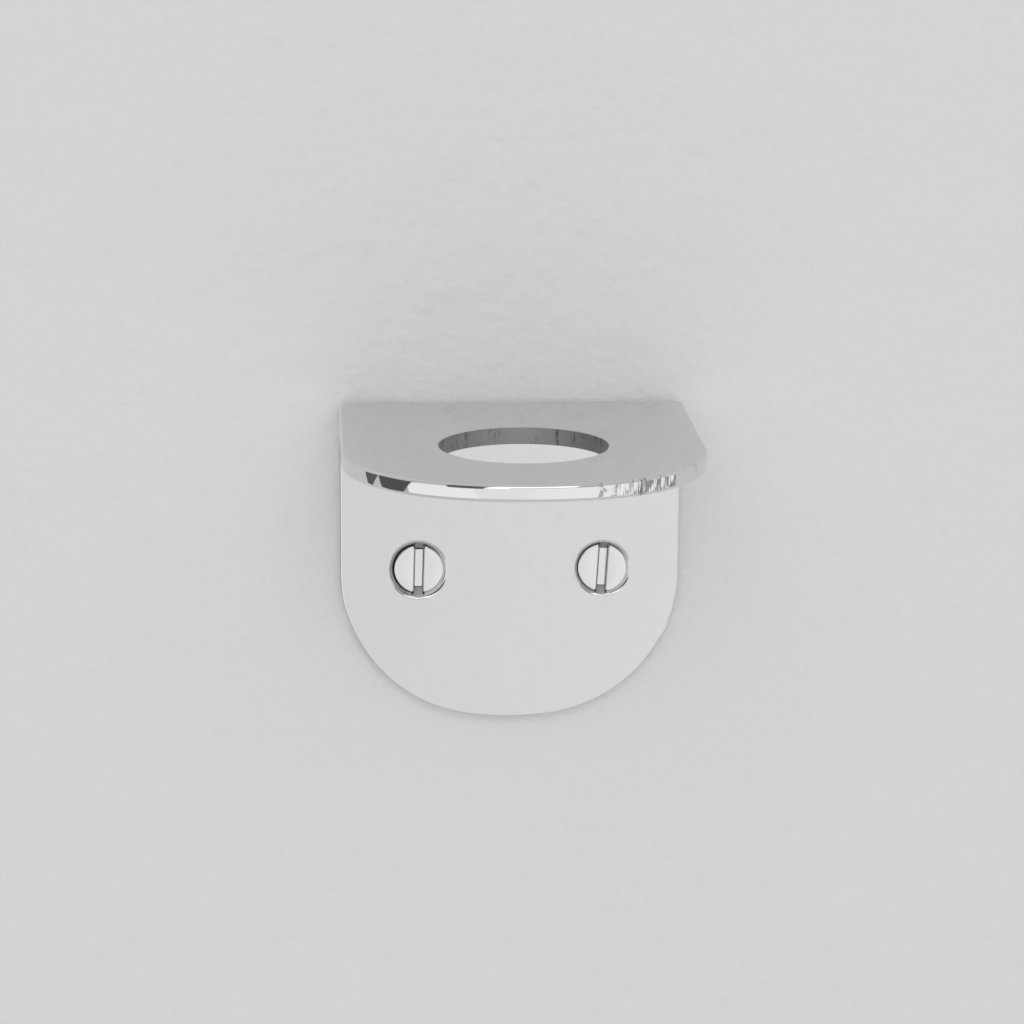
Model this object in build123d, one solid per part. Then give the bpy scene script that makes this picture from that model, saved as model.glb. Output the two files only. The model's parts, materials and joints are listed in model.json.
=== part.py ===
from build123d import *
import os
from math import atan, atan2, degrees, radians, sqrt, tan

# Sash lift handle, in millimetres. A strip of brass is bent to an L: the upright leg is the
# backplate, screwed to the sash, and the level leg is the flange that a finger lifts by, with a
# round hole in it. The origin is on the back face, midway between the two screw holes. +Z is up,
# +X is to the right of someone facing the handle, and +Y points into the sash, so the handle
# itself stands on the -Y side.

# Strip
width = 50.0            # across both legs
stock = 2.4             # thickness of the strip
bend_radius = 4.0       # outside of the bend
edge_round = 0.5        # buffed edges all round

# Legs
flange_rise = 25.2      # screw holes up to the top of the flange
plate_drop = 22.8       # screw holes down to the lower end of the backplate
flange_reach = 57.8     # back face out to the front of the flange
corner_offset = 3.0     # centre line out to the centre of each corner arc
plate_end_radius = 44.0
flange_end_radius = 38.5

# Finger hole
finger_hole_d = 23.2
finger_hole_out = 33.0  # back face out to its centre
finger_hole_break = 0.2

# Screw holes
screw_pitch = 27.1

# Wood screws, slotted and countersunk
screw_length = 20.0
head_d = 7.2
head_rim = 0.2          # straight rim of the head above its cone
head_round = 0.12
shank_d = 4.0
neck_round = 1.0        # fillet between the cone and the shank
shank_length = 8.0      # head and plain shank, down to the thread
thread_pitch = 1.8
thread_height = 0.6     # crest above the core, level with the shank
thread_crest = 0.06     # half the flat on top of the thread
thread_sink = 0.15      # how far the thread's root stands inside the core
thread_turn = 80        # where the thread starts round the core, in degrees from the slot's side
point_length = 4.0
point_r = 0.3           # radius where the point is rounded off
point_thread = 0.15     # height of the thread where it runs out on the point
slot_width = 1.1
slot_depth = 1.0

# Fits
seat_gap = 0.02         # head's cone to the countersink
hole_clearance = 0.45   # shank to the wall of its hole
cut_over = 1.0          # how far each cutter runs past the surface that it opens

# Each screw: its side, how far its countersink's mouth stands outside its head, how far it sits
# off the centre of its hole, and how many degrees its slot leans
SCREWS = {
    "screw_left": (-1, 0.65, 0.15, 1.5),
    "screw_right": (1, 0.45, 0.05, 3.5),
}

CONE = 45               # half the angle of head and countersink
FLANK = tan(radians(30))
RUN_IN = 0.25           # turns over which the thread rises to its full height
SEAM = 1.01             # straight edges up to this many thicknesses run across the strip's edge


def leg_outline(start, reach, end_radius):
    """Outline of a leg: straight sides, two corner arcs and a flatter end arc, all tangent."""
    half = width / 2
    corner_radius = half - corner_offset
    end_centre = reach - end_radius
    corner_centre = end_centre + sqrt((end_radius - corner_radius) ** 2 - corner_offset ** 2)
    lean = degrees(atan2(corner_centre - end_centre, corner_offset))
    return make_face([
        Line((-half, start), (half, start)),
        Line((half, start), (half, corner_centre)),
        CenterArc((corner_offset, corner_centre), corner_radius, 0, lean),
        CenterArc((0, end_centre), end_radius, lean, 180 - 2 * lean),
        CenterArc((-corner_offset, corner_centre), corner_radius, 180 - lean, lean),
        Line((-half, corner_centre), (-half, start)),
    ])


def bent_strip():
    """The strip bent to an L, still square at both ends."""
    inner = bend_radius - stock
    centre = (-bend_radius, flange_rise - bend_radius)
    section = make_face([
        Line((0, -plate_drop), (0, centre[1])),
        CenterArc(centre, bend_radius, 0, 90),
        Line((centre[0], flange_rise), (-flange_reach, flange_rise)),
        Line((-flange_reach, flange_rise), (-flange_reach, flange_rise - stock)),
        Line((-flange_reach, flange_rise - stock), (centre[0], flange_rise - stock)),
        CenterArc(centre, inner, 0, 90),
        Line((-stock, centre[1]), (-stock, -plate_drop)),
        Line((-stock, -plate_drop), (0, -plate_drop)),
    ])
    return extrude(Plane.YZ * section, amount=width / 2, both=True)


def rim_edges(body):
    """Edges along the strip's two faces, without the bend lines and the short seams across the thickness."""
    bend_lines = body.edges().filter_by(Axis.X)
    straight = body.edges().filter_by(GeomType.LINE)
    seams = straight.filter_by(lambda edge: edge.length < SEAM * stock)
    return body.edges() - bend_lines - seams


def blank():
    """The bent strip with both ends rounded to their outlines and every rim buffed."""
    upright, level = Plane((0, 0, 0), (1, 0, 0), (0, 1, 0)), Plane((0, 0, 0), (1, 0, 0), (0, 0, -1))
    plate = upright * leg_outline(-flange_rise - cut_over, plate_drop, plate_end_radius)
    flange = level * leg_outline(-cut_over, flange_reach, flange_end_radius)
    plate_prism = extrude(plate, amount=flange_reach + cut_over, both=True)
    flange_prism = extrude(flange, amount=plate_drop + flange_rise, both=True)
    body = bent_strip() & plate_prism & flange_prism
    return fillet(rim_edges(body), edge_round)


def hole_plane(side):
    """Plane on the backplate's front face at a screw hole, with its Z into the sash."""
    return Plane((side * screw_pitch / 2, -stock, 0), (1, 0, 0), (0, 1, 0))


def screw_cut(margin):
    """Cutter for a countersunk screw hole, its mouth standing the given margin outside the screw's head."""
    mouth, hole = head_d / 2 + margin, shank_d / 2 + hole_clearance
    section = make_face(Polyline(
        (0, -cut_over), (mouth + cut_over, -cut_over), (hole, mouth - hole),
        (hole, stock + cut_over), (0, stock + cut_over), close=True,
    ))
    return revolve(Plane.XZ * section, Axis.Z)


def finger_hole_cut():
    """Cutter for the finger hole, flared at both faces of the flange to break the hole's edges."""
    hole, low, high = finger_hole_d / 2, -stock / 2, stock / 2
    flare = finger_hole_break + cut_over
    section = make_face(Polyline(
        (0, low - cut_over), (hole + flare, low - cut_over), (hole, low + finger_hole_break),
        (hole, high - finger_hole_break), (hole + flare, high + cut_over), (0, high + cut_over), close=True,
    ))
    return Pos(0, -finger_hole_out, flange_rise - stock / 2) * revolve(Plane.XZ * section, Axis.Z)


def lift_plate():
    """The whole lift: backplate and flange in one piece, with its finger hole and screw holes."""
    body = blank() - finger_hole_cut()
    for side, margin, _, _ in SCREWS.values():
        body -= hole_plane(side) * screw_cut(margin)
    return body


def screw_blank():
    """Head, plain shank, core and point of a screw, standing on its head with the point up Z."""
    head, shank, core = head_d / 2, shank_d / 2, shank_d / 2 - thread_height
    neck_end = head_rim + head - shank + neck_round * tan(radians(CONE / 2))
    neck_centre = (shank + neck_round, neck_end)
    neck = CenterArc(neck_centre, neck_round, 180, CONE)
    section = make_face([
        Line((0, 0), (head - head_round, 0)),
        CenterArc((head - head_round, head_round), head_round, -90, 90),
        Line((head, head_round), (head, head_rim)),
        Line((head, head_rim), neck @ 1),
        neck,
        Line((shank, neck_end), (shank, shank_length)),
        Line((shank, shank_length), (core, shank_length + thread_height)),
        Line((core, shank_length + thread_height), (core, screw_length - point_length)),
        Line((core, screw_length - point_length), (point_r, screw_length - point_r)),
        Line((point_r, screw_length - point_r), (0, screw_length)),
        Line((0, screw_length), (0, 0)),
    ])
    return revolve(Plane.XZ * section, Axis.Z)


def thread_section(path, where, height):
    """Section of the thread at one end of its helix: sloping flanks on the core, with a narrow flat crest."""
    at = path @ where
    root = (height + thread_sink) * FLANK + thread_crest
    plane = Plane(at, Vector(at.X, at.Y, 0), path % where)
    return plane * make_face(Polyline(
        (-thread_sink, -root), (height, -thread_crest), (height, thread_crest), (-thread_sink, root), close=True,
    ))


def thread_run(path, start_height, end_height):
    """One run of thread along a helix, growing or shrinking from one height to the other."""
    ends = [thread_section(path, 0, start_height), thread_section(path, 1, end_height)]
    return sweep(sections=ends, path=path, multisection=True, is_frenet=True)


def thread():
    """Thread in three runs: it rises out of the core, runs at full height and dies away along the point."""
    core = shank_d / 2 - thread_height
    rise = RUN_IN * thread_pitch
    start = shank_length + thread_height + thread_pitch / 2
    full = screw_length - point_length - start - rise
    taper = point_length - point_r - thread_crest
    lean = degrees(atan((core - point_r) / taper))
    turn = 360 * (rise + full) / thread_pitch
    run_in = Pos(0, 0, start) * thread_run(
        Helix(thread_pitch, rise, core), point_thread, thread_height)
    run = Pos(0, 0, start + rise) * Rot(0, 0, 360 * RUN_IN) * thread_run(
        Helix(thread_pitch, full, core), thread_height, thread_height)
    run_out = Pos(0, 0, start + rise + full) * Rot(0, 0, turn) * thread_run(
        Helix(thread_pitch, taper, core, cone_angle=-lean), thread_height, point_thread)
    return [Rot(0, 0, thread_turn) * piece for piece in (run_in, run, run_out)]


def wood_screw():
    """A slotted countersunk wood screw, standing on its head with the point up Z."""
    slot = Box(slot_width, head_d + 2 * cut_over, slot_depth + cut_over)
    return screw_blank() + thread() - Pos(0, 0, (slot_depth - cut_over) / 2) * slot


def seated(screw, side, margin, shift, lean):
    """A screw driven home, so that its cone meets the countersink on the side that it sits towards."""
    depth = margin - head_rim - shift - seat_gap
    return hole_plane(side) * Pos(shift, 0, depth) * Rot(0, 0, lean) * screw


os.makedirs("parts", exist_ok=True)
nodes = {"lift_plate": lift_plate()}
wood = wood_screw()
for name, place in SCREWS.items():
    nodes[name] = seated(wood, *place)
for name, node in nodes.items():
    export_step(node, f"parts/{name}.step")
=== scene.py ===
"""A sash lift handle of polished nickel on a pale plastered wall, and the studio round it.

The lift is one strip bent to an L, with a finger hole in its flange. Two slotted countersunk
screws hold it. Everything is in metres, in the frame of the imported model: the wall is the plane
y = 0, the lift stands on its -Y side, +Z is up and +X is to the right of someone facing it.
"""

from __future__ import annotations

import json
import logging
import math
from collections.abc import Callable, Iterator
from contextlib import contextmanager
from dataclasses import dataclass
from enum import Enum

import bpy
from mathutils import Matrix, Vector

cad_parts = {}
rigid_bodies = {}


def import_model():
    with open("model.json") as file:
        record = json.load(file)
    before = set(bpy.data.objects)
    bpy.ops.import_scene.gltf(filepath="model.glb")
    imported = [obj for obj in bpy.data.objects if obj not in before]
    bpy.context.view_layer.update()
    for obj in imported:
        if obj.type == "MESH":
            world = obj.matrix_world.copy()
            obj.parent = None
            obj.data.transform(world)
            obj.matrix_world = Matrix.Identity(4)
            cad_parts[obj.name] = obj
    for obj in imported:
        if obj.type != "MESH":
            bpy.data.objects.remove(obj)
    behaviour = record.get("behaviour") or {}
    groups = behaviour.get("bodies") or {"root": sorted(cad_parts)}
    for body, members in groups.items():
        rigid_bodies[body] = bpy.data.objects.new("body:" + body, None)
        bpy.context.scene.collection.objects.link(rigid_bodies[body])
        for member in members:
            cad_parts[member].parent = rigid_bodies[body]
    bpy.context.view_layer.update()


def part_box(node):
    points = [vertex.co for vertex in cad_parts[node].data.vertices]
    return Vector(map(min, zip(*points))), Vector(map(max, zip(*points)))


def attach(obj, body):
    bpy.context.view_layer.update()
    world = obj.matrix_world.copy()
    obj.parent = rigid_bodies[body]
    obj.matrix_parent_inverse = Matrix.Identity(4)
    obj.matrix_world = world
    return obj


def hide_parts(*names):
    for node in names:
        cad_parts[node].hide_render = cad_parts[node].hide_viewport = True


LOG = logging.getLogger("sash_lift")
BODY = "root"
MERGE = 1e-7
SHARP = math.radians(30)
STOCK = 0.0024
FLANGE_TOP = 0.0252
SCREW_PITCH = 0.0271
SLOT_LEANS = {"screw_left": math.radians(1.5), "screw_right": math.radians(3.5)}
PointTest = Callable[[Vector], bool]
FaceTest = Callable[[Vector, Vector], bool]


class Element(Enum):
    """What a selection is made of."""

    VERTEX = "VERT"
    EDGE = "EDGE"
    FACE = "FACE"


class Cut(Enum):
    """How a tool works on a piece."""

    REMOVE = "DIFFERENCE"
    KEEP = "INTERSECT"
    JOIN = "UNION"


# ---------------------------------------------------------------------------- the bench


def take_up(piece: bpy.types.Object) -> None:
    """Makes a piece the only one selected, and the active one.

    Args:
        piece: The piece to take up.
    """
    bpy.ops.object.select_all(action="DESELECT")
    piece.select_set(True)
    bpy.context.view_layer.objects.active = piece


def new_sheet(name: str, side: float) -> bpy.types.Object:
    """Adds a flat square sheet, level and centred on the origin.

    Args:
        name: Its name.
        side: Length of its sides.

    Returns:
        The sheet.
    """
    bpy.ops.object.select_all(action="DESELECT")
    bpy.ops.mesh.primitive_plane_add(size=side)
    sheet = bpy.context.active_object
    sheet.name = name
    return sheet


@contextmanager
def editing(piece: bpy.types.Object, element: Element, clear: bool = True) -> Iterator[None]:
    """Opens a piece in edit mode and closes it again.

    Args:
        piece: The piece to work on.
        element: What is selected in this stretch of work.
        clear: Whether to start with nothing selected.

    Yields:
        Nothing: the work is done by operators inside the block.
    """
    take_up(piece)
    bpy.ops.object.mode_set(mode="EDIT")
    bpy.ops.mesh.select_mode(type=element.value)
    if clear:
        bpy.ops.mesh.select_all(action="DESELECT")
    yield
    bpy.ops.object.mode_set(mode="OBJECT")


def middle(mesh: bpy.types.Mesh, vertices: list[int]) -> Vector:
    """The middle of some of a mesh's vertices."""
    return sum((mesh.vertices[index].co for index in vertices), Vector()) / len(vertices)


def round_edges(piece: bpy.types.Object, width: float, segments: int, where: PointTest) -> int:
    """Rounds the sharp edges whose middle passes a test.

    Args:
        piece: The piece to work on.
        width: Radius of the rounding, in metres.
        segments: Facets across the rounding.
        where: Says yes to the middle of an edge that is rounded.

    Returns:
        How many edges were rounded.
    """
    with editing(piece, Element.EDGE):
        bpy.ops.mesh.edges_select_sharp(sharpness=SHARP)
    count = 0
    for edge in piece.data.edges:
        edge.select = edge.select and where(middle(piece.data, list(edge.vertices)))
        count += edge.select
    for item in (*piece.data.vertices, *piece.data.polygons):
        item.select = False
    with editing(piece, Element.EDGE, clear=False):
        bpy.ops.mesh.bevel(offset=width, segments=segments, profile=0.5, affect="EDGES")
    return count


def combine(piece: bpy.types.Object, tool: bpy.types.Object, cut: Cut) -> None:
    """Works a tool on a piece and puts the tool away.

    Args:
        piece: The piece that is changed.
        tool: The closed shape that cuts it or is joined to it.
        cut: How the tool works.
    """
    take_up(piece)
    modifier = piece.modifiers.new(cut.name, "BOOLEAN")
    modifier.operation = cut.value
    modifier.solver = "EXACT"
    modifier.object = tool
    bpy.ops.object.modifier_apply(modifier=modifier.name)
    bpy.data.objects.remove(tool, do_unlink=True)


def tidy_shell(piece: bpy.types.Object) -> None:
    """Merges doubled vertices and turns every face outwards.

    Args:
        piece: The piece to tidy.
    """
    with editing(piece, Element.VERTEX):
        bpy.ops.mesh.select_all(action="SELECT")
        bpy.ops.mesh.remove_doubles(threshold=MERGE)
        bpy.ops.mesh.normals_make_consistent(inside=False)


def finish_surface(piece: bpy.types.Object) -> None:
    """Shades a piece smooth except at sharp edges, with flats that stay truly flat.

    Args:
        piece: The piece to finish.
    """
    take_up(piece)
    bpy.ops.object.shade_smooth_by_angle(angle=SHARP)
    modifier = piece.modifiers.new("flats", "WEIGHTED_NORMAL")
    modifier.keep_sharp = True
    modifier.weight = 100
    bpy.ops.object.modifier_apply(modifier=modifier.name)


def put_in_place(piece: bpy.types.Object, place: Matrix) -> None:
    """Moves a piece to its place, and leaves its object at the origin.

    Args:
        piece: The piece to move.
        place: Where it goes.
    """
    piece.matrix_world = place
    take_up(piece)
    bpy.ops.object.transform_apply(location=True, rotation=True, scale=True)


class Outline:
    """A wire drawn point by point, then filled and drawn out, or turned on a lathe."""

    def __init__(self, name: str, start: tuple[float, float, float]) -> None:
        """Starts a wire.

        Args:
            name: Name of the object that holds it.
            start: Its first point.
        """
        self.piece = new_sheet(name, 1)
        self.tip = Vector(start)
        bpy.ops.object.mode_set(mode="EDIT")
        bpy.ops.mesh.select_mode(type=Element.VERTEX.value)
        bpy.ops.mesh.select_all(action="SELECT")
        bpy.ops.mesh.merge(type="CENTER")
        bpy.ops.transform.translate(value=self.tip)

    def line_to(self, *point: float) -> Outline:
        """Draws a straight stretch to a point.

        Args:
            *point: Its X, Y and Z.

        Returns:
            This outline, so that calls can be chained.
        """
        step = Vector(point) - self.tip
        bpy.ops.mesh.extrude_region_move(TRANSFORM_OT_translate={"value": step})
        self.tip = Vector(point)
        return self

    def arc(self, centre: tuple, axis: tuple, turn: float, steps: int) -> Outline:
        """Draws an arc.

        Args:
            centre: Centre of the arc.
            axis: Axis that it turns about, by the right-hand rule.
            turn: Angle in radians.
            steps: Straight steps along it.

        Returns:
            This outline, so that calls can be chained.
        """
        bpy.ops.mesh.spin(steps=steps, angle=-turn, center=centre, axis=axis)
        spoke = self.tip - Vector(centre)
        self.tip = Vector(centre) + Matrix.Rotation(turn, 3, Vector(axis)) @ spoke
        return self

    def drawn_out(self, *step: float) -> bpy.types.Object:
        """Closes the wire, fills it and draws it out to a solid.

        Args:
            *step: How far along X, Y and Z it is drawn out.

        Returns:
            The solid.
        """
        bpy.ops.mesh.select_all(action="SELECT")
        bpy.ops.mesh.edge_face_add()
        bpy.ops.mesh.select_all(action="SELECT")
        bpy.ops.mesh.extrude_region_move(TRANSFORM_OT_translate={"value": step})
        bpy.ops.object.mode_set(mode="OBJECT")
        tidy_shell(self.piece)
        return self.piece

    def turned(self, axis: tuple, steps: int) -> bpy.types.Object:
        """Turns the wire once round, to a closed solid.

        Args:
            axis: Axis that it turns about, through the origin.
            steps: Facets round the solid.

        Returns:
            The solid.
        """
        bpy.ops.mesh.select_all(action="SELECT")
        bpy.ops.mesh.spin(steps=steps, angle=math.tau, center=(0, 0, 0), axis=axis)
        bpy.ops.object.mode_set(mode="OBJECT")
        tidy_shell(self.piece)
        return self.piece


# ---------------------------------------------------------------------------- shader parts


class Graph:
    """A node tree and short ways to add to it."""

    def __init__(self, tree: bpy.types.NodeTree) -> None:
        """Keeps the tree that nodes are added to."""
        self.tree = tree

    def add(self, kind: str, links: dict | None = None, **settings: object) -> bpy.types.Node:
        """Adds a node.

        Args:
            kind: Blender's name for the node type.
            links: What goes into each input: a socket to link, or a value to set.
            **settings: Properties of the node itself.

        Returns:
            The new node.
        """
        node = self.tree.nodes.new(kind)
        for name, value in settings.items():
            setattr(node, name, value)
        self.feed(node, links or {})
        return node

    def feed(self, node: bpy.types.Node, links: dict) -> None:
        """Feeds a node's inputs.

        Args:
            node: The node.
            links: What goes into each input: a socket to link, or a value to set.
        """
        for key, value in links.items():
            if isinstance(value, bpy.types.NodeSocket):
                self.tree.links.new(value, node.inputs[key])
            else:
                node.inputs[key].default_value = value

    def place(self) -> bpy.types.NodeSocket:
        """Adds the object's own coordinates."""
        return self.add("ShaderNodeTexCoord").outputs["Object"]

    def blend(self, mask: object, first: object, second: object) -> bpy.types.NodeSocket:
        """Blends two colours by a mask and gives the result."""
        return self.add("ShaderNodeMix", {0: mask, 6: first, 7: second}, data_type="RGBA").outputs[2]

    def axes(self, vector: object) -> bpy.types.bpy_prop_collection:
        """Splits a vector into its X, Y and Z."""
        return self.add("ShaderNodeSeparateXYZ", {0: vector}).outputs

    def bump(self, height: object, distance: float, **others: object) -> bpy.types.NodeSocket:
        """Adds a bump and gives the normal."""
        links = {"Height": height, "Distance": distance, "Strength": 1.0, **others}
        return self.add("ShaderNodeBump", links).outputs[0]

    def maths(self, operation: str, first: object, second: object = 0.0) -> bpy.types.NodeSocket:
        """Adds a Math node and gives its result."""
        return self.add("ShaderNodeMath", {0: first, 1: second}, operation=operation).outputs[0]

    def ramp(
        self, value: object, start: float, end: float, low: float = 0.0, high: float = 1.0
    ) -> bpy.types.NodeSocket:
        """Maps the range start to end onto low to high, and holds it there outside."""
        sockets = {0: value, 1: start, 2: end, 3: low, 4: high}
        return self.add("ShaderNodeMapRange", sockets).outputs[0]

    def noise(self, vector: object, scale: float, detail: float) -> bpy.types.NodeSocket:
        """Adds a noise of a scale in cells per metre and gives its value."""
        sockets = {"Vector": vector, "Scale": scale, "Detail": detail}
        return self.add("ShaderNodeTexNoise", sockets).outputs[0]

    def stretched(self, vector: object, scale: tuple[float, float, float]) -> bpy.types.NodeSocket:
        """Scales a vector along each axis."""
        return self.add("ShaderNodeMapping", {"Vector": vector, "Scale": scale}).outputs[0]


def new_group(name: str, inputs: dict[str, tuple], outputs: tuple[str, ...]) -> tuple:
    """Starts a shader node group.

    Args:
        name: Name of the group.
        inputs: For each input its socket type and its usual value.
        outputs: Names of its outputs, which are plain values.

    Returns:
        The group's graph, its input node and its output node.
    """
    tree = bpy.data.node_groups.new(name, "ShaderNodeTree")
    for label, (kind, value) in inputs.items():
        socket = tree.interface.new_socket(label, in_out="INPUT", socket_type=kind)
        if value is not None:
            socket.default_value = value
    for label in outputs:
        tree.interface.new_socket(label, in_out="OUTPUT", socket_type="NodeSocketFloat")
    graph = Graph(tree)
    return graph, graph.add("NodeGroupInput"), graph.add("NodeGroupOutput")


VECTOR, NUMBER = "NodeSocketVector", "NodeSocketFloat"


def handling_group() -> bpy.types.NodeTree:
    """The film and finger marks of handled metal, as masks.

    Returns:
        A group with a fine haze, broad smudges and slow ripples, each from 0 to 1.
    """
    graph, given, made = new_group(
        "handling", {"Vector": (VECTOR, None), "Size": (NUMBER, 0.01)}, ("Haze", "Smudge", "Ripple")
    )
    haze_fineness, ripple_fineness = 9.0, 2.5
    emptiest, fullest = -1.0, 2.0
    rate = graph.maths("DIVIDE", 1.0, given.outputs["Size"])
    place = given.outputs["Vector"]
    haze = graph.noise(place, graph.maths("MULTIPLY", rate, haze_fineness), detail=4.0)
    smudge = graph.ramp(graph.noise(place, rate, detail=3.0), 0.0, 1.0, emptiest, fullest)
    ripple = graph.noise(place, graph.maths("MULTIPLY", rate, ripple_fineness), detail=1.0)
    graph.feed(made, {"Haze": haze, "Smudge": smudge, "Ripple": ripple})
    return graph.tree


def tool_marks_group() -> bpy.types.NodeTree:
    """Marks that a tool leaves, running one way.

    Returns:
        A group whose vector is already stretched along the marks, with their height and a mask of
        the deeper ones.
    """
    graph, given, made = new_group(
        "tool_marks", {"Vector": (VECTOR, None), "Pitch": (NUMBER, 0.0002)}, ("Height", "Deep")
    )
    coarseness, fine_share, coarse_share = 0.23, 0.45, 0.55
    shallow, full = 0.52, 0.66
    rate = graph.maths("DIVIDE", 1.0, given.outputs["Pitch"])
    place = given.outputs["Vector"]
    fine = graph.maths("MULTIPLY", graph.noise(place, rate, detail=3.0), fine_share)
    broad = graph.noise(place, graph.maths("MULTIPLY", rate, coarseness), detail=2.0)
    height = graph.maths("ADD", fine, graph.maths("MULTIPLY", broad, coarse_share))
    graph.feed(made, {"Height": height, "Deep": graph.ramp(height, shallow, full)})
    return graph.tree


class Effects(Enum):
    """Shader groups that several finishes share."""

    HANDLING = "handling"
    TOOL_MARKS = "tool_marks"

    def placed(self, graph: Graph, links: dict) -> bpy.types.Node:
        """Puts this group in a material.

        Args:
            graph: The material's graph.
            links: What goes into the group's inputs.

        Returns:
            The group node.
        """
        makers = {Effects.HANDLING: handling_group, Effects.TOOL_MARKS: tool_marks_group}
        tree = bpy.data.node_groups.get(self.value) or makers[self]()
        node = graph.add("ShaderNodeGroup", node_tree=tree)
        graph.feed(node, links)
        return node


def new_material(name: str) -> tuple[bpy.types.Material, Graph, bpy.types.Node]:
    """Starts a material.

    Args:
        name: Its name.

    Returns:
        The material, its graph and its Principled shader.
    """
    material = bpy.data.materials.new(name)
    material.use_nodes = True
    return material, Graph(material.node_tree), material.node_tree.nodes["Principled BSDF"]


@dataclass(frozen=True)
class Nickel:
    """Nickel plate over brass, worked by one kind of tool.

    Args:
        name: Name of the material.
        tone: Base colour where the plate is clean.
        dull: Base colour in the deeper tool marks and under smudges; on the flange's edge these
            dark streaks are painted reflection.
        roughness: Roughness where the plate is clean.
        smudged: Roughness added by smudges and tool marks.
        grain: How far the tool marks are stretched along each axis; small is long.
        pitch: Distance between tool marks, in metres.
        depth: Depth of the tool marks, in metres.
        ripple: Height of the slow ripples that buffing leaves, in metres.
        smudge_size: Size of the smudges, in metres.
        film: How far smudges dull the colour, from 0 to 1.
        painted_highlight: Base colour on the right and lower side of a screw hole, a painted
            highlight where the countersink's cone catches the light.
        crown: How strongly the flange's edge bulges, as half its curvature in 1/metre.
        chatter_and_painted_streaks: Where the marks of a chattering tool on the flange's edge start
            and where they stop, along X at the edge's top, in metres; they are bumps, and their dark
            streaks are painted reflection.
    """

    name: str
    tone: tuple[float, float, float] = (0.666, 0.665, 0.663)
    dull: tuple[float, float, float] = (0.645, 0.644, 0.641)
    roughness: float = 0.05
    smudged: float = 0.05
    grain: tuple[float, float, float] = (1.0, 1.0, 1.0)
    pitch: float = 0.0005
    depth: float = 0.0000008
    ripple: float = 0.000003
    smudge_size: float = 0.012
    film: float = 0.35
    painted_highlight: tuple[float, float, float] | None = None
    crown: float = 0.0
    chatter_and_painted_streaks: tuple[float, float] | None = None

    def build(self) -> bpy.types.Material:
        """Makes the material.

        Returns:
            The material.
        """
        material, graph, shader = new_material(self.name)
        place = graph.place()
        marks = Effects.TOOL_MARKS.placed(
            graph, {"Vector": graph.stretched(place, self.grain), "Pitch": self.pitch}
        )
        film = Effects.HANDLING.placed(graph, {"Vector": place, "Size": self.smudge_size})
        relief, deep = marks.outputs["Height"], marks.outputs["Deep"]
        # The edge's marks are bumps, and their dark colour is a painted reflection.
        if self.chatter_and_painted_streaks is not None:
            reached = self.chatter_and_painted_streak_mask(graph, place)
            relief = graph.maths("MULTIPLY", relief, reached)
            deep = graph.maths("MULTIPLY", deep, reached)
        filmed = graph.maths("MULTIPLY", film.outputs["Smudge"], self.film)
        wear_and_painted_streaks = graph.maths("MAXIMUM", filmed, deep)
        colour = graph.blend(wear_and_painted_streaks, (*self.tone, 1.0), (*self.dull, 1.0))
        # Painted highlight towards one side of each screw hole.
        if self.painted_highlight is not None:
            colour = graph.blend(self.highlight_side_mask(graph, place), colour, (*self.painted_highlight, 1.0))
        uneven = graph.maths("MULTIPLY", wear_and_painted_streaks, film.outputs["Haze"])
        rough = graph.ramp(uneven, 0.0, 1.0, self.roughness, self.roughness + self.smudged)
        waves = graph.bump(film.outputs["Ripple"], self.ripple)
        if self.crown:
            waves = self.crowned(graph, place, waves)
        scored = graph.bump(relief, self.depth, Normal=waves)
        looks = {"Metallic": 1.0, "Base Color": colour, "Roughness": rough, "Normal": scored}
        graph.feed(shader, looks)
        return material

    def highlight_side_mask(self, graph: Graph, place: bpy.types.NodeSocket) -> bpy.types.NodeSocket:
        """Mask that grows towards the right and lower side of the nearer screw hole.

        Args:
            graph: The material's graph.
            place: Object coordinates.

        Returns:
            The mask, 1 where the painted highlight is brightest.
        """
        rightward, downward, most = 0.85, 0.5, 0.0032
        axes = graph.axes(place)
        centre = graph.maths("MULTIPLY", graph.maths("SIGN", axes["X"]), SCREW_PITCH / 2)
        right = graph.maths("MULTIPLY", graph.maths("SUBTRACT", axes["X"], centre), rightward)
        towards = graph.maths("SUBTRACT", right, graph.maths("MULTIPLY", axes["Z"], downward))
        return graph.ramp(towards, 0.0, most)

    def crowned(
        self, graph: Graph, place: bpy.types.NodeSocket, normal: bpy.types.NodeSocket
    ) -> bpy.types.NodeSocket:
        """Bulges the flange's edge a little across its thickness.

        Args:
            graph: The material's graph.
            place: Object coordinates.
            normal: The normal so far.

        Returns:
            The normal with the bulge.
        """
        half = STOCK / 2
        above = graph.maths("SUBTRACT", graph.axes(place)["Z"], FLANGE_TOP - half)
        off = graph.maths("MINIMUM", graph.maths("ABSOLUTE", above), half)
        fall = graph.maths("MULTIPLY", graph.maths("MULTIPLY", off, off), -self.crown)
        return graph.bump(fall, 1.0, Normal=normal)

    def chatter_and_painted_streak_mask(self, graph: Graph, place: bpy.types.NodeSocket) -> bpy.types.NodeSocket:
        """Mask of the stretch of edge that a chattering tool's marks and their painted dark reflection
        cover, which starts on a slant.

        Args:
            graph: The material's graph.
            place: Object coordinates.

        Returns:
            The mask, 1 where the marks and their painted streaks are.
        """
        slant, fade = 2.0, 0.0008
        first, last = self.chatter_and_painted_streaks
        axes = graph.axes(place)
        begun = graph.maths("ADD", axes["X"], graph.maths("MULTIPLY", axes["Z"], slant))
        start = first + slant * FLANGE_TOP
        into = graph.ramp(begun, start, start + fade)
        out = graph.ramp(axes["X"], last, last + fade, 1.0, 0.0)
        return graph.maths("MULTIPLY", into, out)


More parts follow.
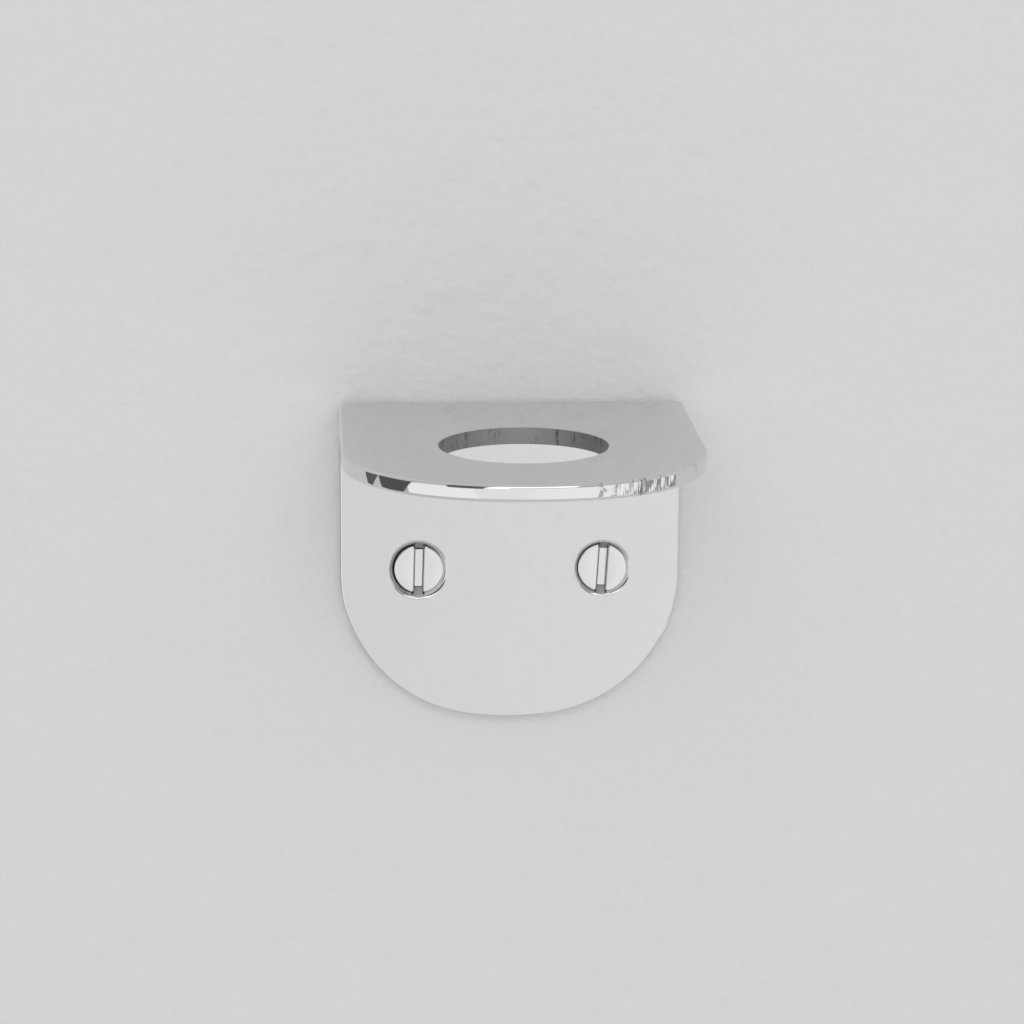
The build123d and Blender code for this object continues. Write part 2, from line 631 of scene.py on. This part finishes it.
class Finish(Enum):
    """The finishes of the lift and its screws."""

    FACE = Nickel("nickel_polished_face")
    # Lighter base colour than the face: painted light on the flange's top, which mirrors the shaded
    # wall above it; its roughness and marks are its own.
    TOP = Nickel(
        "nickel_buffed_top_painted_lighter",
        tone=(0.73, 0.728, 0.725),
        dull=(0.62, 0.618, 0.614),
        roughness=0.09,
        smudged=0.08,
        pitch=0.00065,
        depth=0.000006,
    )
    # The dark base colour in the edge's marks is a painted reflection; the marks' bumps and the crown
    # are the edge's own shape.
    EDGE = Nickel(
        "nickel_linished_edge",
        tone=(0.77, 0.768, 0.762),
        dull=(0.30, 0.299, 0.296),
        grain=(1.0, 1.0, 0.16),
        depth=0.00005,
        pitch=0.0006,
        film=0.03,
        crown=62.0,
        chatter_and_painted_streaks=(0.0068, 0.023),
    )
    BACK = Nickel(
        "nickel_satin_back",
        tone=(0.60, 0.595, 0.585),
        dull=(0.50, 0.495, 0.48),
        roughness=0.28,
        smudged=0.16,
        grain=(0.04, 1.0, 1.0),
        pitch=0.0003,
        depth=0.00001,
    )
    # Dark base colour: painted shade inside the finger hole; its roughness and tool marks are its own.
    BORE = Nickel(
        "nickel_bored_wall",
        tone=(0.31, 0.308, 0.303),
        dull=(0.15, 0.149, 0.146),
        roughness=0.55,
        smudged=0.2,
        grain=(1.0, 1.0, 0.2),
        pitch=0.00022,
        depth=0.00005,
    )
    # Dark base colour: painted shade in the countersink round each head, with a painted highlight on
    # its right and lower side.
    SINK = Nickel(
        "nickel_countersink",
        tone=(0.44, 0.438, 0.432),
        dull=(0.26, 0.258, 0.254),
        roughness=0.3,
        smudged=0.2,
        pitch=0.0003,
        depth=0.00001,
        painted_highlight=(0.86, 0.858, 0.85),
    )
    HEAD = Nickel(
        "nickel_screw_head", tone=(0.735, 0.733, 0.728), dull=(0.70, 0.698, 0.69), roughness=0.06
    )
    # Dark base colour: painted shade on the walls and rounded edges of the slot.
    SLOT = Nickel(
        "nickel_screw_slot",
        tone=(0.36, 0.358, 0.352),
        dull=(0.24, 0.238, 0.234),
        roughness=0.2,
        smudged=0.2,
        grain=(1.0, 1.0, 0.06),
        pitch=0.0003,
        depth=0.00001,
    )
    THREAD = Nickel(
        "nickel_screw_thread",
        tone=(0.58, 0.57, 0.55),
        dull=(0.42, 0.41, 0.39),
        roughness=0.22,
        smudged=0.2,
    )

    def get(self) -> bpy.types.Material:
        """The finish's material, made the first time that it is asked for."""
        return bpy.data.materials.get(self.value.name) or self.value.build()


def dress(piece: bpy.types.Object, base: Finish, others: list[tuple[Finish, FaceTest]]) -> None:
    """Gives each face of a piece its finish.

    Args:
        piece: The piece to dress.
        base: The finish of every face that no rule takes.
        others: Finishes with the rule that says which faces they take; the first rule wins.
    """
    piece.data.materials.clear()
    for finish in (base, *(finish for finish, _ in others)):
        piece.data.materials.append(finish.get())
    for polygon in piece.data.polygons:
        where = polygon.center, polygon.normal
        taken = (slot for slot, (_, rule) in enumerate(others, 1) if rule(*where))
        polygon.material_index = next(taken, 0)


# ---------------------------------------------------------------------------- the pieces


@dataclass
class LiftPlate:
    """The whole lift: backplate and flange, bent from one strip.

    Args:
        node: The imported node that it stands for.
        stock: Thickness of the strip.
        bend_radius: Outside radius of the bend.
        edge_round: Radius of the buffed edges.
        corner_offset: Centre line out to the centre of each corner arc.
        plate_end_radius: Radius of the backplate's lower end.
        flange_end_radius: Radius of the flange's front.
        hole_radius: Radius of the finger hole.
        hole_out: Back face out to the finger hole's centre.
        hole_break: Width of the break on the finger hole's edges.
        screw_pitch: Distance between the screw holes.
        screw_hole: Radius of the screw holes.
        mouths: Radius of each countersink's mouth, left and right.
        mouth_break: Width of the break at each mouth.
        overrun: How far each cutter runs past the surface that it opens.
    """

    node: str = "lift_plate"
    stock: float = STOCK
    bend_radius: float = 0.004
    edge_round: float = 0.0005
    corner_offset: float = 0.003
    plate_end_radius: float = 0.044
    flange_end_radius: float = 0.0385
    hole_radius: float = 0.0116
    hole_out: float = 0.033
    hole_break: float = 0.0002
    screw_pitch: float = SCREW_PITCH
    screw_hole: float = 0.00245
    mouths: tuple[float, float] = (0.00425, 0.00405)
    mouth_break: float = 0.0003
    overrun: float = 0.001

    def __post_init__(self) -> None:
        """Reads the overall sizes from the frame."""
        low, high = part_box(self.node)
        self.half = (high.x - low.x) / 2
        self.rise, self.drop, self.reach = high.z, -low.z, -low.y

    def strip(self) -> bpy.types.Object:
        """The strip bent to an L, still square at both ends.

        Returns:
            The strip.
        """
        outer = self.bend_radius
        left, centre = -self.half, (-self.half, -outer, self.rise - outer)
        outline = Outline("lift", (left, 0, -self.drop))
        outline.line_to(left, 0, self.rise - outer).arc(centre, (1, 0, 0), math.pi / 2, steps=40)
        outline.line_to(left, -self.reach, self.rise)
        outline.line_to(left, -self.reach, self.rise - self.stock)
        outline.line_to(left, -outer, self.rise - self.stock)
        outline.arc(centre, (-1, 0, 0), math.pi / 2, steps=24)
        outline.line_to(left, -self.stock, -self.drop)
        return outline.drawn_out(2 * self.half, 0, 0)

    def leg_prism(self, reach: float, end_radius: float) -> bpy.types.Object:
        """A prism with a leg's outline, lying flat with the leg's end towards +Y.

        Args:
            reach: Where the end arc's top lies along Y.
            end_radius: Radius of the end arc.

        Returns:
            The prism, centred on z = 0.
        """
        corner = self.half - self.corner_offset
        end = reach - end_radius
        centre = end + math.sqrt((end_radius - corner) ** 2 - self.corner_offset**2)
        lean = math.atan2(centre - end, self.corner_offset)
        deep = self.reach + self.rise + self.drop
        outline = Outline("leg_outline", (self.half, -deep, -deep))
        outline.line_to(self.half, centre, -deep)
        outline.arc((self.corner_offset, centre, -deep), (0, 0, 1), lean, steps=36)
        outline.arc((0, end, -deep), (0, 0, 1), math.pi - 2 * lean, steps=24)
        outline.arc((-self.corner_offset, centre, -deep), (0, 0, 1), lean, steps=36)
        outline.line_to(-self.half, -deep, -deep)
        return outline.drawn_out(0, 0, 2 * deep)

    def countersink(self, side: int, mouth: float) -> bpy.types.Object:
        """Cutter for a screw hole, in its place.

        Args:
            side: -1 for the left hole, 1 for the right one.
            mouth: Radius of the countersink's mouth.

        Returns:
            The cutter.
        """
        over, hole, stock = self.overrun, self.screw_hole, self.stock
        outline = Outline("countersink", (0, 0, -over))
        outline.line_to(mouth + over, 0, -over).line_to(hole, 0, mouth - hole)
        outline.line_to(hole, 0, stock + over).line_to(0, 0, stock + over)
        cutter = outline.turned((0, 0, 1), steps=120)
        seat = Matrix.Translation((side * self.screw_pitch / 2, -stock, 0))
        put_in_place(cutter, seat @ Matrix.Rotation(-math.pi / 2, 4, "X"))
        return cutter

    def finger_hole(self) -> bpy.types.Object:
        """Cutter for the finger hole, in its place.

        Returns:
            The cutter.
        """
        bpy.ops.object.select_all(action="DESELECT")
        middle_height = self.rise - self.stock / 2
        bpy.ops.mesh.primitive_cylinder_add(
            vertices=200,
            radius=self.hole_radius,
            depth=self.stock + 2 * self.overrun,
            location=(0, -self.hole_out, middle_height),
        )
        cutter = bpy.context.active_object
        put_in_place(cutter, cutter.matrix_world.copy())
        return cutter

    def off_hole(self, point: Vector) -> float:
        """How far a point lies from the finger hole's wall, seen from above."""
        return math.hypot(point.x, point.y + self.hole_out) - self.hole_radius

    def in_hole(self, point: Vector) -> bool:
        """Whether a point is on the finger hole's wall or its edges."""
        return point.z > self.rise - self.stock - MERGE and abs(self.off_hole(point)) < self.edge_round

    def off_screw(self, point: Vector) -> float:
        """How far a point lies from the nearer screw hole's axis."""
        return math.hypot(abs(point.x) - self.screw_pitch / 2, point.z)

    def in_screw_hole(self, point: Vector) -> bool:
        """Whether a point is on a screw hole or its mouth."""
        return self.off_screw(point) < max(self.mouths) + self.edge_round

    def at_mouth(self, point: Vector) -> bool:
        """Whether a point is on a screw hole and nearer the plate's front than its back."""
        return self.in_screw_hole(point) and point.y < -self.stock / 2

    def build(self) -> bpy.types.Object:
        """Makes the lift.

        Returns:
            The finished piece.
        """
        lift = self.strip()
        lift.name = "lift_body"
        plate = self.leg_prism(self.drop, self.plate_end_radius)
        put_in_place(plate, Matrix.Rotation(-math.pi / 2, 4, "X"))
        flange = self.leg_prism(self.reach, self.flange_end_radius)
        put_in_place(flange, Matrix.Rotation(math.pi, 4, "X"))
        combine(lift, plate, Cut.KEEP)
        combine(lift, flange, Cut.KEEP)
        rim = round_edges(lift, self.edge_round, segments=8, where=lambda point: True)
        combine(lift, self.finger_hole(), Cut.REMOVE)
        for side, mouth in zip((-1, 1), self.mouths):
            combine(lift, self.countersink(side, mouth), Cut.REMOVE)
        tidy_shell(lift)
        hole = round_edges(lift, self.hole_break, segments=3, where=self.in_hole)
        mouth = round_edges(lift, self.mouth_break, segments=6, where=self.at_mouth)
        LOG.info("lift_body: rounded %d rim, %d hole and %d countersink edges", rim, hole, mouth)
        finish_surface(lift)
        self.dress(lift)
        return lift

    def dress(self, lift: bpy.types.Object) -> None:
        """Gives the lift its finishes.

        Args:
            lift: The finished lift.
        """
        straight, top = 0.9, self.rise - self.edge_round

        def on_rim(point: Vector, normal: Vector) -> bool:
            """Whether a face is on the strip's outer edge."""
            level = point.y < -self.bend_radius
            return abs(normal.z if level else normal.y) < straight and not self.in_bend(point)

        dress(
            lift,
            Finish.FACE,
            [
                (Finish.BORE, lambda point, way: self.in_hole(point) and abs(way.z) < straight),
                (Finish.SINK, lambda point, way: self.in_screw_hole(point) and abs(way.y) < straight),
                (Finish.BACK, lambda point, way: point.y > -MERGE and way.y > straight),
                (Finish.TOP, lambda point, way: point.z > top and way.z > straight),
                (Finish.EDGE, on_rim),
            ],
        )

    def in_bend(self, point: Vector) -> bool:
        """Whether a point is on the bend between its sides."""
        near = point.y > -self.bend_radius and point.z > self.rise - self.bend_radius
        return near and abs(point.x) < self.half - self.edge_round


@dataclass
class WoodScrew:
    """A slotted countersunk wood screw, driven home.

    Args:
        node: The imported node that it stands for.
        lean: Angle by which its slot leans, in radians.
        head_rim: Straight rim of the head above its cone.
        head_round: Radius of the head's edge.
        shank: Radius of the shank.
        neck_round: Radius of the fillet between cone and shank.
        shank_length: Head and plain shank, down to the thread.
        thread_pitch: Distance from one turn of thread to the next.
        thread_height: Crest above the core.
        thread_crest: Half the flat on top of the thread.
        thread_sink: How far the thread's root stands inside the core.
        point_length: Length of the cone at the tip.
        point_radius: Radius where the point is rounded off.
        slot_width: Width of the slot.
        slot_depth: Depth of the slot.
        slot_break: Width of the break on the slot's edges.
    """

    node: str
    lean: float
    head_rim: float = 0.0002
    head_round: float = 0.00018
    shank: float = 0.002
    neck_round: float = 0.001
    shank_length: float = 0.008
    thread_pitch: float = 0.0018
    thread_height: float = 0.0006
    thread_crest: float = 0.00006
    thread_sink: float = 0.00015
    point_length: float = 0.004
    point_radius: float = 0.0003
    slot_width: float = 0.0011
    slot_depth: float = 0.001
    slot_break: float = 0.00026

    def __post_init__(self) -> None:
        """Reads the place and length from the frame."""
        low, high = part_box(self.node)
        self.head = (high.x - low.x) / 2
        self.length = high.y - low.y
        self.seat = Vector(((high.x + low.x) / 2, low.y, 0))
        self.core = self.shank - self.thread_height

    def blank(self) -> bpy.types.Object:
        """Head, shank, core and point, standing on the head with the point up Z.

        Returns:
            The screw without its thread and slot.
        """
        cone = math.radians(45)
        neck_end = self.head_rim + self.head - self.shank + self.neck_round * math.tan(cone / 2)
        neck = (self.shank + self.neck_round, 0, neck_end)
        drop = self.neck_round * math.sin(cone)
        corner = (self.head - self.head_round, 0, self.head_round)
        outline = Outline(self.node + "_body", (0, 0, 0))
        outline.line_to(corner[0], 0, 0).arc(corner, (0, -1, 0), math.pi / 2, steps=5)
        outline.line_to(self.head, 0, self.head_rim)
        outline.line_to(neck[0] - self.neck_round * math.cos(cone), 0, neck_end - drop)
        outline.arc(neck, (0, 1, 0), cone, steps=6)
        outline.line_to(self.shank, 0, self.shank_length)
        outline.line_to(self.core, 0, self.shank_length + self.thread_height)
        outline.line_to(self.core, 0, self.length - self.point_length)
        outline.line_to(self.point_radius, 0, self.length - self.point_radius)
        outline.line_to(0, 0, self.length)
        return outline.turned((0, 0, 1), steps=96)

    def thread(self) -> bpy.types.Object:
        """The thread, drawn out step by step along the core and the point.

        Returns:
            The thread, with its foot inside the core.
        """
        steps, slope, hair = 36, math.radians(30), self.thread_sink / 10
        flank = (self.thread_height + self.thread_sink) * math.tan(slope) + self.thread_crest
        foot, crest = self.core - self.thread_sink, self.shank - hair
        start = self.shank_length - self.thread_pitch / 4
        outline = Outline("thread", (foot, 0, start - flank))
        outline.line_to(crest, 0, start - self.thread_crest)
        outline.line_to(crest, 0, start + self.thread_crest).line_to(foot, 0, start + flank)
        bpy.ops.mesh.select_all(action="SELECT")
        bpy.ops.mesh.edge_face_add()
        bpy.ops.mesh.select_mode(type=Element.FACE.value)
        height, rise, turn = start, self.thread_pitch / steps, -math.tau / steps
        cone = self.length - self.point_length
        end = self.length - self.point_radius - self.thread_pitch / 4
        radius = self.core
        while height + rise < end:
            height += rise
            bpy.ops.mesh.extrude_region_move(TRANSFORM_OT_translate={"value": (0, 0, rise)})
            bpy.ops.transform.rotate(value=turn, orient_axis="Z", center_override=(0, 0, 0))
            along = max(0.0, height - cone) / (self.point_length - self.point_radius)
            slimmer = self.core + (self.point_radius - self.core) * along
            shrink = slimmer / radius
            if shrink < 1:
                bpy.ops.transform.resize(value=(shrink, shrink, 1), center_override=(0, 0, height))
            radius = slimmer
        bpy.ops.object.mode_set(mode="OBJECT")
        tidy_shell(outline.piece)
        return outline.piece

    def slot_cutter(self) -> bpy.types.Object:
        """Cutter for the slot, across the head.

        Returns:
            The cutter.
        """
        half, deep, past = self.slot_width / 2, self.slot_depth, 2 * self.head
        outline = Outline("slot", (-half, -past, -deep))
        outline.line_to(half, -past, -deep).line_to(half, -past, deep).line_to(-half, -past, deep)
        return outline.drawn_out(0, 2 * past, 0)

    def at_slot(self, point: Vector) -> bool:
        """Whether a point is in the face of the head, near the slot."""
        return point.z < self.head_round / 2 and abs(point.x) < self.slot_width

    def build(self) -> bpy.types.Object:
        """Makes the screw in its place.

        Returns:
            The finished piece.
        """
        screw = self.blank()
        combine(screw, self.thread(), Cut.JOIN)
        combine(screw, self.slot_cutter(), Cut.REMOVE)
        tidy_shell(screw)
        edges = round_edges(screw, self.slot_break, segments=4, where=self.at_slot)
        LOG.info("%s: rounded %d slot edges", screw.name, edges)
        finish_surface(screw)
        self.dress(screw)
        turn = Matrix.Rotation(-math.pi / 2, 4, "X") @ Matrix.Rotation(self.lean, 4, "Z")
        put_in_place(screw, Matrix.Translation(self.seat) @ turn)
        LOG.info("%s: %d faces", screw.name, len(screw.data.polygons))
        return screw

    def dress(self, screw: bpy.types.Object) -> None:
        """Gives the screw its finishes, while it still stands on its head.

        Args:
            screw: The finished screw.
        """
        sideways, across = 0.1, self.slot_width / 2 + self.slot_break

        def in_slot(point: Vector, normal: Vector) -> bool:
            """Whether a face is on a wall or a rounded edge of the slot, and not on its floor."""
            deep = MERGE < point.z < self.slot_depth + MERGE
            return abs(point.x) < across and deep and abs(normal.x) > sideways

        dress(
            screw,
            Finish.HEAD,
            [
                (Finish.SLOT, in_slot),
                (Finish.THREAD, lambda point, _: point.z > self.shank_length - self.thread_pitch),
            ],
        )


# ---------------------------------------------------------------------------- the studio


@dataclass(frozen=True)
class Card:
    """A card that the metal reflects, hung round the lift and turned to face it.

    Args:
        name: Name of the card.
        azimuth: Direction from the lift, in degrees from -Y towards +X.
        elevation: Degrees above the level of the flange.
        span: How many degrees it takes up sideways and upwards.
        tone: Brightness of its face at its left and right, with 1 for full white.
        slant: Degrees by which its lower right corner is drawn in.
        distance: Distance from the flange, in metres.
    """

    name: str
    azimuth: float
    elevation: float
    span: tuple[float, float]
    tone: tuple[float, float]
    slant: float = 0.0
    distance: float = 0.8

    def build(self, centre: Vector) -> None:
        """Hangs the card.

        Args:
            centre: The point that it faces.
        """
        card = new_sheet(self.name, 2)
        wide, high = (self.distance * math.tan(math.radians(angle / 2)) for angle in self.span)
        with editing(card, Element.VERTEX):
            bpy.ops.mesh.select_all(action="SELECT")
            bpy.ops.transform.resize(value=(wide, high, 1), center_override=(0, 0, 0))
            bpy.ops.mesh.select_all(action="DESELECT")
        around, up = math.radians(self.azimuth), math.radians(self.elevation)
        level = Vector((math.sin(around), -math.cos(around), 0))
        towards = level * math.cos(up) + Vector((0, 0, math.sin(up)))
        place = Matrix.Translation(centre + towards * self.distance)
        turn = towards.to_track_quat("Z", "Y").to_matrix().to_4x4()
        max(card.data.vertices, key=lambda vertex: vertex.co.x - vertex.co.y).select = True
        with editing(card, Element.VERTEX, clear=False):
            bpy.ops.transform.translate(value=(-self.distance * math.radians(self.slant), 0, 0))
        put_in_place(card, place @ turn)
        material, graph, shader = new_material(self.name)
        left_end, right_end = -0.02, 0.12
        fade = graph.ramp(graph.axes(graph.place())["X"], left_end, right_end, *self.tone)
        glow = graph.add("ShaderNodeEmission", {"Color": (1, 1, 1, 1), "Strength": fade})
        graph.tree.nodes.remove(shader)
        graph.feed(graph.tree.nodes["Material Output"], {"Surface": glow.outputs[0]})
        card.data.materials.append(material)
        card.visible_camera = card.visible_diffuse = card.visible_shadow = False


CARDS = (
    Card("card_front", 14.0, -16.0, span=(78.0, 34.0), tone=(0.95, 1.03)),
    Card("card_left_bright", -48.0, -12.0, span=(50.0, 36.0), tone=(1.04, 1.04), distance=0.85),
    Card("card_left_dark", -81.0, -12.5, span=(38.0, 45.0), tone=(0.1, 0.1), slant=26.0),
    Card("card_left_small", -102.5, -9.7, (17.0, 24.4), (0.12, 0.12), slant=16.0, distance=0.0876),
    Card("card_left_high", -30.0, 20.0, span=(27.0, 48.0), tone=(0.12, 0.12), distance=0.7),
    Card("card_front_high", 14.0, 8.0, span=(40.0, 14.0), tone=(0.3, 0.3), distance=0.7),
    Card("card_right_bright", 74.0, -12.0, span=(80.0, 50.0), tone=(1.1, 1.1)),
    Card("card_low", 20.0, -72.0, span=(60.0, 26.0), tone=(0.7, 0.7), distance=0.3),
)


def slats() -> Iterator[Card]:
    """Upright slats to the right of the lift, three narrow ones and five wider and darker.

    Yields:
        The card of each slat, from front to back.
    """
    narrow, total, level, height = 3, 8, -12.0, 44.0
    for number in range(narrow):
        azimuth = 36.0 + 10 * number
        yield Card(f"slat_{number}", azimuth, level, (3.0, height), (0.5, 0.5), distance=0.7)
    for number in range(narrow, total):
        azimuth = 42.0 + 8 * number
        yield Card(f"slat_{number}", azimuth, level, (4.5, height), (0.28, 0.28), distance=0.7)


@dataclass(frozen=True)
class Softbox:
    """A soft square light.

    Args:
        name: Name of the light.
        place: Where it hangs.
        size: Its side.
        watts: Its power.
    """

    name: str
    place: tuple[float, float, float]
    size: float
    watts: float

    def build(self, aim: Vector) -> None:
        """Hangs the light.

        Args:
            aim: The point that it faces.
        """
        data = bpy.data.lights.new(self.name, "AREA")
        data.shape, data.size, data.energy = "SQUARE", self.size, self.watts
        lamp = bpy.data.objects.new(self.name, data)
        bpy.context.scene.collection.objects.link(lamp)
        lamp.location = self.place
        lamp.rotation_euler = (aim - Vector(self.place)).to_track_quat("-Z", "Y").to_euler()


@dataclass(frozen=True)
class Paint:
    """A pale matt finish with faint blotches.

    Args:
        name: Name of the material.
        tones: The two base colours that the blotches lie between.
        blotches: Blotches per metre.
        roughness: Its roughness.
    """

    name: str
    tones: tuple[tuple[float, ...], tuple[float, ...]]
    blotches: float
    roughness: float

    def build(self) -> tuple[bpy.types.Material, Graph, bpy.types.Node]:
        """Makes the material.

        Returns:
            The material, its graph and its Principled shader.
        """
        material, graph, shader = new_material(self.name)
        tint = graph.blend(graph.noise(graph.place(), self.blotches, detail=3.0), *self.tones)
        graph.feed(shader, {"Base Color": tint, "Roughness": self.roughness})
        return material, graph, shader


@dataclass
class Studio:
    """Wall, floor, lights, reflected cards and camera.

    Args:
        wall_size: Side of the plastered wall.
        floor_size: Side of the floor.
        floor_drop: How far the floor lies below the screws.
        wall_gap: Room between the back of the lift and the wall.
        rim: How far the wall's opening lies inside the lift's outline.
        sky_strength: Brightness of the even light from all round.
        camera_place: Where the camera stands.
        camera_turn: Its heading, pitch and roll, in degrees.
        lens: Its focal length, in millimetres.
    """

    wall_size: float = 0.6
    floor_size: float = 6.0
    floor_drop: float = 0.5
    wall_gap: float = 0.00005
    rim: float = 0.0015
    sky_strength: float = 0.6
    camera_place: tuple[float, float, float] = (-0.0290, -0.5035, 0.1265)
    camera_turn: tuple[float, float, float] = (-3.34, -13.22, -0.27)
    lens: float = 123.9

    def plaster(self) -> bpy.types.Material:
        """Pale matt plaster, rolled, and clear from behind so that the back of the lift shows.

        Returns:
            The material.
        """
        tones = ((0.795, 0.797, 0.803, 1), (0.812, 0.812, 0.816, 1))
        material, graph, shader = Paint("pale_plaster", tones, blotches=9.0, roughness=0.85).build()
        grains, dabs, grit_share = 420.0, 75.0, 0.35
        depth, strength = 0.0016, 0.6
        place = graph.place()
        grit = graph.maths("MULTIPLY", graph.noise(place, grains, detail=5.0), grit_share)
        height = graph.maths("ADD", grit, graph.noise(place, dabs, detail=3.0))
        graph.feed(shader, {"Normal": graph.bump(height, depth, Strength=strength)})
        clear = graph.add("ShaderNodeBsdfTransparent")
        behind = graph.add("ShaderNodeNewGeometry").outputs["Backfacing"]
        path = graph.add("ShaderNodeLightPath").outputs
        from_behind = graph.maths("MULTIPLY", behind, path["Is Camera Ray"])
        touching = graph.maths("LESS_THAN", path["Ray Length"], 3 * self.wall_gap)
        open_to = graph.maths("MAXIMUM", from_behind, touching)
        both = graph.add("ShaderNodeMixShader", {0: open_to, 1: shader.outputs[0], 2: clear.outputs[0]})
        graph.feed(graph.tree.nodes["Material Output"], {"Surface": both.outputs[0]})
        return material

    def wall(self, lift: LiftPlate) -> None:
        """Builds the wall with an opening behind the lift.

        Args:
            lift: The lift that hangs on it.
        """
        wall = new_sheet("wall", self.wall_size)
        upright = Matrix.Rotation(math.pi / 2, 4, "X")
        put_in_place(wall, Matrix.Translation((0, self.wall_gap, 0)) @ upright)
        opening = lift.leg_prism(lift.drop, lift.plate_end_radius)
        top = lift.rise - lift.bend_radius
        with editing(opening, Element.VERTEX):
            bpy.ops.mesh.select_all(action="SELECT")
            bpy.ops.mesh.bisect(
                plane_co=(0, -top, 0), plane_no=(0, -1, 0), clear_outer=True, use_fill=True
            )
            bpy.ops.mesh.select_all(action="SELECT")
            shrink = 1 - self.rim / lift.drop
            bpy.ops.transform.resize(value=(shrink, shrink, 1), center_override=(0, 0, 0))
        tidy_shell(opening)
        put_in_place(opening, Matrix.Rotation(-math.pi / 2, 4, "X"))
        combine(wall, opening, Cut.REMOVE)
        wall.data.materials.append(self.plaster())

    def floor(self) -> None:
        """Lays the floor."""
        floor = new_sheet("floor", self.floor_size)
        put_in_place(floor, Matrix.Translation((0, 0, -self.floor_drop)))
        tones = ((0.74, 0.74, 0.745, 1), (0.77, 0.77, 0.77, 1))
        material, _, _ = Paint("pale_floor", tones, blotches=6.0, roughness=0.8).build()
        floor.data.materials.append(material)

    def sky(self) -> None:
        """Lights the room evenly."""
        world = bpy.data.worlds.new("room")
        world.use_nodes = True
        cool_white = (0.985, 0.99, 1.0, 1.0)
        background = world.node_tree.nodes["Background"]
        Graph(world.node_tree).feed(background, {"Color": cool_white, "Strength": self.sky_strength})
        bpy.context.scene.world = world

    def camera(self) -> None:
        """Sets up the camera, a little left of the lift and above it."""
        heading, pitch, roll = (math.radians(angle) for angle in self.camera_turn)
        data = bpy.data.cameras.new("camera")
        data.lens, data.sensor_width = self.lens, 36.0
        data.clip_start, data.clip_end = 0.01, 20.0
        camera = bpy.data.objects.new("camera", data)
        bpy.context.scene.collection.objects.link(camera)
        turn = Matrix.Rotation(heading, 4, "Z") @ Matrix.Rotation(pitch, 4, "X")
        turn = turn @ Matrix.Rotation(roll, 4, "Y") @ Matrix.Rotation(math.pi / 2, 4, "X")
        camera.matrix_world = Matrix.Translation(self.camera_place) @ turn
        bpy.context.scene.camera = camera

    def build(self, lift: LiftPlate) -> None:
        """Sets up the whole studio round the lift.

        Args:
            lift: The lift that it is set up for.
        """
        self.wall(lift)
        self.floor()
        self.sky()
        self.camera()
        aim = Vector((0, -0.03, 0))
        Softbox("key", (-0.05, -1.4, 0.6), size=1.2, watts=6.3).build(aim)
        Softbox("behind", (0.9, 1.2, 0.9), size=0.9, watts=8.0).build(aim)
        centre = Vector((0, -0.05, lift.rise))
        for card in (*CARDS, *slats()):
            card.build(centre)


def ride_for(piece: bpy.types.Object, node: str) -> None:
    """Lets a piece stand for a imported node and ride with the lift.

    Args:
        piece: The finished piece.
        node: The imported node.
    """
    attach(piece, BODY)
    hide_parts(node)
    LOG.info("%s rides on %s and stands for %s", piece.name, BODY, node)


def main() -> None:
    """Builds the lift, its screws and the studio."""
    logging.basicConfig(level=logging.INFO, format="%(name)s: %(message)s")
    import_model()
    bpy.context.scene.view_settings.view_transform = "Standard"
    lift = LiftPlate()
    ride_for(lift.build(), lift.node)
    for node, lean in SLOT_LEANS.items():
        ride_for(WoodScrew(node, lean).build(), node)
    Studio().build(lift)


if __name__ == "__main__":
    main()
